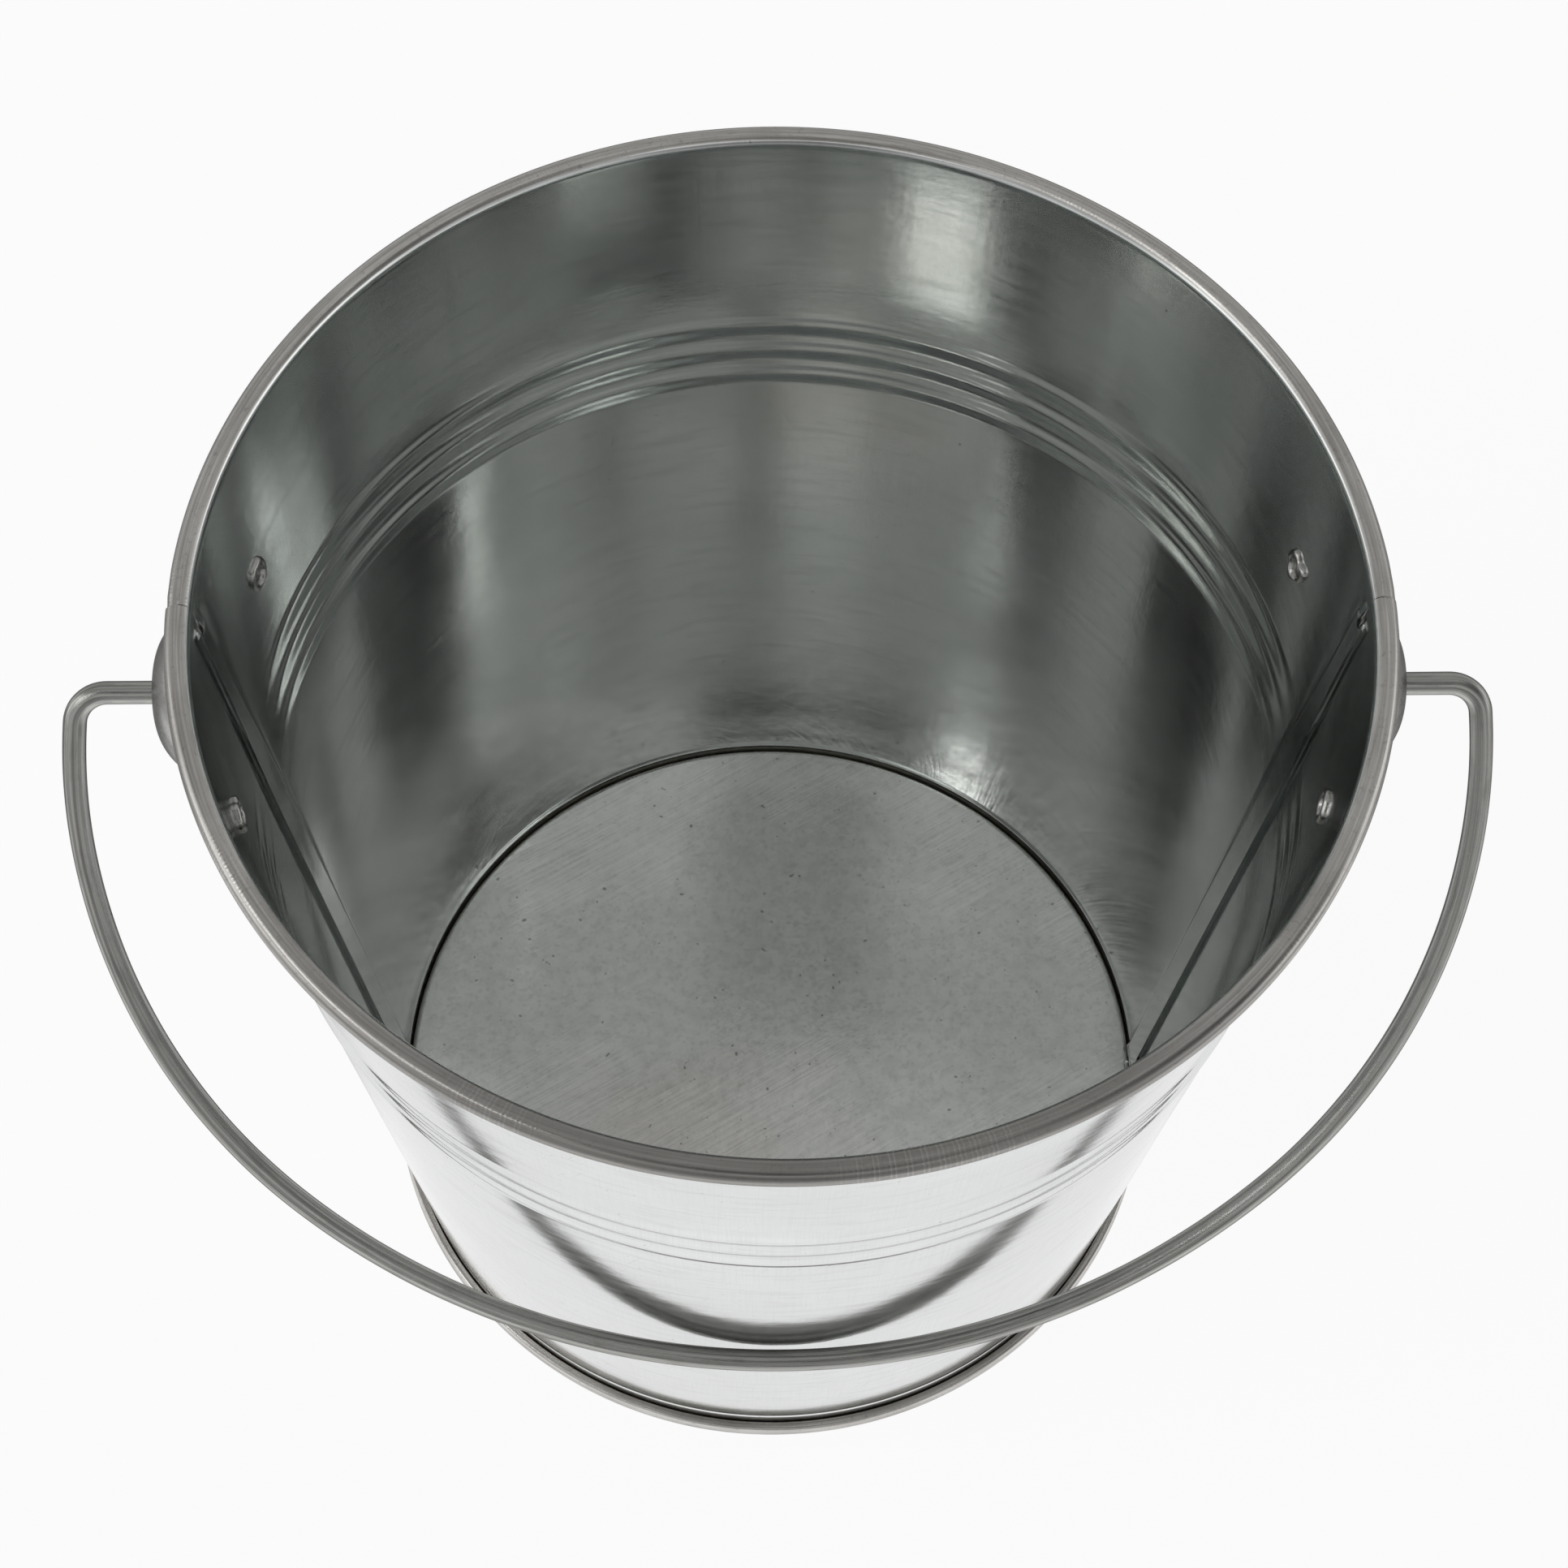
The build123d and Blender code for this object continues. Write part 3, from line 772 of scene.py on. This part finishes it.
# ---------------------------------------------------------------- ears
def ear_outline(angle):
    """Distance from the ear's middle to its edge, at an angle from the bucket's round direction."""
    tip = wall_radius(pivot.z, sheet / 2 + ear_gap + ear_sheet) * sin(rivet_angle)
    turned = abs((angle + pi / 2) % pi - pi / 2)
    lean = pi / 2 - asin((ear_body_radius - ear_tip_radius) / tip)
    meet = atan2(ear_tip_radius * sin(lean), tip + ear_tip_radius * cos(lean))
    if turned > lean:
        return ear_body_radius
    if turned > meet:
        return ear_body_radius / cos(turned - lean)
    return tip * cos(turned) + sqrt(ear_tip_radius ** 2 - (tip * sin(turned)) ** 2)


def ear(name, side):
    """Pressed ear: a dome round the bail's end that runs out into a flange lying on the wall."""
    dome_edge = dome_base_radius + dome_margin
    base = wall_radius(pivot.z, sheet / 2 + ear_gap + ear_sheet)
    rise = ear_apex - base
    reach = dome_base_radius - dome_face_radius
    crown_radius = (rise ** 2 + reach ** 2) / (2 * rise)
    middle_radius = crown_radius - ear_sheet / 2
    columns, rings, dome_rings = 144, 46, 31
    points = []
    for i in range(columns):
        angle = 2 * pi * i / columns
        edge = ear_outline(angle)
        for j in range(rings):
            if j <= dome_rings:
                away = bail_hole_radius + (dome_edge - bail_hole_radius) * j / dome_rings
            else:
                away = dome_edge + (edge - dome_edge) * (j - dome_rings) / (rings - 1 - dome_rings)
            y = away * cos(angle)
            z = pivot.z + away * sin(angle)
            flange = sqrt(wall_radius(z, sheet / 2 + ear_gap + ear_sheet / 2) ** 2 - y ** 2)
            out = max(0, away - dome_face_radius)
            inside = out < middle_radius
            dome = ear_apex - crown_radius + sqrt(middle_radius ** 2 - out ** 2) if inside else 0
            fillet = max(0, dome_fillet - abs(dome - flange))
            x = max(dome, flange) + fillet ** 2 / (4 * dome_fillet)
            points.append(Vector((side * x, y, z)))
    piece = make_piece(name, points, grid_faces(columns, rings, closed=True), [pressed], None, ear_sheet)
    bevel = piece.modifiers.new("edge", "BEVEL")
    bevel.width = ear_edge_bevel
    bevel.segments = 2
    bevel.limit_method = "ANGLE"
    bevel.angle_limit = 50 * degree
    return piece


# ---------------------------------------------------------------- rivets
def rivet_profile(lip_seat, lip_end, head_seat):
    """Section of a rivet from its hollow tail to its head: (radius, place along its axis)."""
    inner_roll = rivet_lip_crest - rivet_bore_radius
    outer_roll = rivet_lip_radius - rivet_lip_crest
    bore_end = lip_end + rivet_bore_depth
    profile = [(0.0, bore_end), (rivet_bore_radius * 0.8, bore_end)]
    for k in range(0, 11):
        turn = pi / 2 * k / 10
        along = lip_end + rivet_bore_depth * (1 - sin(turn))
        profile.append((rivet_lip_crest - inner_roll * cos(turn), along))
    for k in range(1, 9):
        turn = pi / 2 * k / 8
        profile.append((rivet_lip_crest + outer_roll * sin(turn), lip_end + outer_roll * (1 - cos(turn))))
    profile += [(rivet_lip_radius, lip_seat), (rivet_shank_radius, lip_seat), (rivet_shank_radius, head_seat)]
    profile += [(rivet_head_radius - 0.15 * mm, head_seat), (rivet_head_radius, head_seat + 0.1 * mm)]
    for k in range(0, 11):
        share = cos(pi / 2 * k / 10)
        rise = rivet_head_height * (0.25 + 0.75 * sqrt(1 - share ** 2))
        profile.append((rivet_head_radius * share, head_seat + rise))
    return profile


def rivet(name, node, lobes, crush):
    """Tubular rivet: a low domed head outside and an unevenly rolled tail inside."""
    low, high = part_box(node)
    middle = (low + high) / 2
    azimuth = atan2(middle.y, middle.x)
    origin = round_point(wall_radius(pivot.z), azimuth, pivot.z)
    across = Vector((-sin(azimuth), cos(azimuth), 0))
    outward = Vector((wall_out.x * cos(azimuth), wall_out.x * sin(azimuth), wall_out.y))
    upward = outward.cross(across)
    lip_seat = -sheet / 2 - hair
    lip_end = lip_seat - rivet_lip_height
    profile = rivet_profile(lip_seat, lip_end, sheet / 2 + ear_gap + ear_sheet + rivet_gap)
    columns = 72
    points = []
    for i in range(columns):
        turn = 2 * pi * i / columns
        ripple = 1 + crush * cos(lobes * turn + len(name)) + crush * 0.5 * cos((lobes + 2) * turn)
        for radius, along in profile:
            if along < lip_seat + hair and radius > rivet_bore_radius * 0.9:
                share = smoothstep(rivet_bore_radius, rivet_lip_radius, radius)
                spread = 1 + (ripple - 1) * share
                sink = crush * 0.8 * mm * cos(lobes * turn + 1.3) * smoothstep(lip_seat, lip_end, along)
                # The tail never reaches further in than its crest
                height = max(along + max(0, sink), lip_end)
            else:
                spread, height = 1, along
            local = across * radius * spread * cos(turn) + upward * radius * spread * sin(turn)
            points.append(origin + local + outward * height)
    return make_piece(name, points, grid_faces(columns, len(profile), closed=True), [plated])


# ---------------------------------------------------------------- bail handle
def bail_line():
    """Centre line of the bail in its own plane, from the right ear to the left: (x, down, heading)."""
    corner, side = bail_corner_angle, bail_side_angle
    side_middle = bail_leg + (bail_corner_radius - bail_side_radius) * sin(corner)
    main_radius = side_middle / sin(corner + side) + bail_side_radius
    head_outside = ear_apex - ear_sheet - head_play
    path = [(head_outside - head_length, 0.0, 0.0)]
    head_runs = ((head_edge, 2), (head_length - 2 * head_edge, 3), (head_edge, 2))
    for length, steps in head_runs + ((head_neck, 2),):
        run_line(path, length, steps)
    run_line(path, bail_leg - path[-1][0], 20)
    run_arc(path, bail_corner_radius, corner, 20)
    run_arc(path, bail_side_radius, side, 110)
    run_arc(path, main_radius, 2 * (pi - corner - side), 230)
    run_arc(path, bail_side_radius, side, 110)
    run_arc(path, bail_corner_radius, corner, 20)
    run_line(path, -path[-1][0] - head_outside - head_neck, 20)
    for length, steps in ((head_neck, 2),) + head_runs:
        run_line(path, length, steps)
    return path


def bail():
    """Bent wire, slightly uneven, with a flattened head at each end inside the ears."""
    path = bail_line()
    down = Vector((0, -cos(bail_rest_angle), -sin(bail_rest_angle)))
    square = Vector((0, sin(bail_rest_angle), -cos(bail_rest_angle)))
    right = Vector((1, 0, 0))
    head_outside = ear_apex - ear_sheet - head_play
    columns = 32
    points, flow = [], []
    gone = 0.0
    last = path[0]
    for x, depth, heading in path:
        gone += hypot(x - last[0], depth - last[1])
        last = (x, depth)
        middle = pivot + right * x + down * depth
        sideways = right * sin(heading) - down * cos(heading)
        into_head = head_outside - abs(x) if depth < mm else -1.0
        if into_head > -weld_distance:
            edge = min(into_head, head_length - into_head)
            radius = head_radius - head_rounding * (1 - smoothstep(0, head_edge, edge))
        else:
            radius = wire_radius * (1 + 0.012 * noise.noise(Vector((gone / 0.009, 0, 1.7))))
            sag = noise.noise(Vector((gone / 0.05, 4.2, 0))) * 0.16 * mm * smoothstep(6 * mm, 30 * mm, depth)
            middle = middle - sideways * sag
        for k in range(columns):
            turn = 2 * pi * k / columns
            points.append(middle + sideways * radius * cos(turn) + square * radius * sin(turn))
            flow.append((turn, gone, 0.0))
    faces = []
    for j in range(len(path) - 1):
        for k in range(columns):
            here, after = j * columns + k, j * columns + (k + 1) % columns
            faces.append((here, after, after + columns, here + columns))
    faces.append(list(range(columns)))
    faces.append(list(range(len(points) - columns, len(points))))
    return make_piece("bail_wire", points, faces, [drawn_wire], flow=flow)


# ---------------------------------------------------------------- the object
galvanised = sheet_material("galvanised_sheet")
worked = worked_material("worked_rim")
mottled = bottom_material("bottom_sheet")
pressed = pressed_material("ear_steel", 120.0)
plated = pressed_material("rivet_steel", 400.0)
drawn_wire = wire_material("bail_wire")

right_rivet_low, right_rivet_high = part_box("rivet_right_back")
right_rivet = (right_rivet_low + right_rivet_high) / 2
rivet_angle = atan2(right_rivet.y, right_rivet.x)

finish_piece(body_half("front_sheet", front_columns(), True), "bucket", "body_front_half")
finish_piece(body_half("back_sheet", back_columns(), False), "bucket", "body_back_half")
finish_piece(bottom_disc(), "bucket", "bottom_disc")
finish_piece(ear("right_ear_stamping", 1), "bucket", "ear_right")
finish_piece(ear("left_ear_stamping", -1), "bucket", "ear_left")
for node, lobes, crush in (
    ("rivet_right_front", 5, 0.03),
    ("rivet_right_back", 3, 0.14),
    ("rivet_left_back", 4, 0.04),
    ("rivet_left_front", 6, 0.05),
):
    finish_piece(rivet(node + "_rolled", node, lobes, crush), "bucket", node)
finish_piece(bail(), "bail", "bail_handle")


# ---------------------------------------------------------------- floor, light and camera
ceiling_light = 0.37
zenith_light = 0.48
zenith_heights = (0.88, 0.96)
horizon_light = 0.22
horizon_top = 0.5

# Soft patches of the sky, placed by following reflections out of the bucket and then adjusted:
# azimuth, zenith angle, inner and outer radius, all in degrees, and the share of light added or taken
sky_patches = (
    (-112, 54, 8, 17, 0.9),
    (-80, 56, 8, 17, 0.9),
    (-14, 50, 14, 26, -0.85),
    (9, 44, 3, 9, 0.9),
    (157, 46, 6, 12, -0.7),
    (98, 30, 3, 8, -0.45),
    (88, 19, 4, 10, -0.3),
    (-86, 37, 7, 12, -0.95),
    (-99, 40, 7, 11, -1.0),
    (-116, 33, 7, 12, -0.97),
    (-98, 17, 4, 12, -0.3),
    (-90, 82, 8, 30, -0.6),
    (0, 80, 12, 34, 1.2),
    (180, 80, 12, 34, 1.2),
    (75, 32, 5, 14, 0.45),
)

# A soft box of three patches that overlap, and two small lamps, placed in the same way
soft_box = ((-155, 50, 3, 8), (-172, 51, 4, 9), (-178, 51, 2, 6))
soft_box_light = 2.7
lamps = (
    (-141, 41, 2.5, 5, 4.0),
    (2, 29, 1, 3.5, 2.4),
)

camera_place = Vector((-8.0, -198.2, 462.4)) * mm
camera_aim = Vector((0.7, 0.0, 98.4)) * mm
camera_side_turn = 2.54 * degree
camera_roll = 0.0312
focal_length = 70.64
sensor_width = 36

# The floor's glow as the camera sees it, and as the metal does in front of the bucket and elsewhere
floor_seen = 0.91
floor_reflected = 0.97
floor_reflected_far = 0.3
floor_behind = (-20 * mm, 30 * mm)
floor_far = (250 * mm, 600 * mm)
floor_reach = 4.0
floor_drop = 0.02 * mm


def make_floor():
    """Plain pale table top. What the metal reflects of it is dimmer behind the bucket and far away."""
    mesh = bpy.data.meshes.new("floor")
    corners = [(-1, -1), (1, -1), (1, 1), (-1, 1)]
    points = [(x * floor_reach, y * floor_reach, -floor_drop) for x, y in corners]
    mesh.from_pydata(points, [], [(0, 1, 2, 3)])
    floor = bpy.data.objects.new("floor", mesh)
    bpy.context.scene.collection.objects.link(floor)
    material = bpy.data.materials.new("floor")
    graph = Graph(material)
    position, _, y, _ = object_position(graph)
    matte = graph.node("BsdfDiffuse", {"Color": (0.12, 0.12, 0.12, 1)})
    behind = graph.step(y, *floor_behind)
    distance = graph.node("VectorMath", {0: position}, operation="LENGTH").outputs["Value"]
    dim = graph.math("MAXIMUM", behind, graph.step(distance, *floor_far))
    reflected = graph.spread(dim, 0.0, 1.0, floor_reflected, floor_reflected_far)
    seen = graph.node("LightPath").outputs["Is Camera Ray"]
    unseen = graph.math("SUBTRACT", 1.0, seen)
    strength = graph.math("MULTIPLY", seen, floor_seen)
    strength = graph.math("ADD", strength, graph.math("MULTIPLY", unseen, reflected))
    glow = graph.node("Emission", {"Color": (1, 1, 1, 1), "Strength": strength})
    both = graph.node("AddShader", {0: matte.outputs[0], 1: glow.outputs[0]})
    graph.node("OutputMaterial", {"Surface": both.outputs[0]})
    floor.data.materials.append(material)


def direction(azimuth, zenith):
    """Unit vector from an angle around the vertical and an angle from straight up."""
    return (sin(zenith) * cos(azimuth), sin(zenith) * sin(azimuth), cos(zenith))


def make_light():
    """Studio sky: a grey ceiling, brighter at the horizon and overhead, with soft patches and lights."""
    world = bpy.data.worlds.new("studio")
    bpy.context.scene.world = world
    graph = Graph(world)
    towards = graph.node("TexCoord").outputs["Generated"]
    height = graph.node("SeparateXYZ", {0: towards}).outputs[2]

    def lobe(azimuth, zenith, inner, outer):
        """Round patch of the sky: 1 up to its inner angle, and 0 from its outer angle on. In degrees."""
        middle = direction(azimuth * degree, zenith * degree)
        facing = graph.node("VectorMath", {0: towards, 1: middle}, operation="DOT_PRODUCT")
        return graph.step(facing.outputs["Value"], cos(outer * degree), cos(inner * degree))

    def brightened(light, patch, strength):
        """Light with a patch's own light added."""
        return graph.math("ADD", light, graph.math("MULTIPLY", patch, strength))

    light = graph.step(height, *zenith_heights, ceiling_light, zenith_light)
    light = graph.math("ADD", light, graph.step(height, 0.0, horizon_top, horizon_light, 0.0))
    for azimuth, zenith, inner, outer, gain in sky_patches:
        change = graph.math("MULTIPLY", lobe(azimuth, zenith, inner, outer), gain)
        light = graph.math("MULTIPLY", light, graph.math("ADD", 1.0, change))
    box = lobe(*soft_box[0])
    for part in soft_box[1:]:
        box = graph.math("MAXIMUM", box, lobe(*part))
    light = brightened(light, box, soft_box_light)
    for azimuth, zenith, inner, outer, strength in lamps:
        light = brightened(light, lobe(azimuth, zenith, inner, outer), strength)
    glow = graph.node("Background", {"Color": (1.0, 1.0, 0.99, 1), "Strength": light})
    graph.node("OutputWorld", {"Surface": glow.outputs[0]})


def make_camera():
    """Camera above the front, looking down at the bucket, turned a little to one side."""
    lens = bpy.data.cameras.new("camera")
    lens.sensor_width = sensor_width
    lens.lens = focal_length
    lens.clip_start = 0.01
    camera = bpy.data.objects.new("camera", lens)
    bpy.context.scene.collection.objects.link(camera)
    forward = (camera_aim - camera_place).normalized()
    level = Vector((cos(camera_side_turn), -sin(camera_side_turn), 0))
    upward = level.cross(forward)
    right = level * cos(camera_roll) + upward * sin(camera_roll)
    top = upward * cos(camera_roll) - level * sin(camera_roll)
    turn = Matrix((right, top, -forward)).transposed()
    camera.matrix_world = Matrix.Translation(camera_place) @ turn.to_4x4()
    bpy.context.scene.camera = camera


make_floor()
make_light()
make_camera()
bpy.context.scene.view_settings.view_transform = "Standard"
bpy.context.scene.cycles.max_bounces = 16
bpy.context.scene.cycles.glossy_bounces = 14
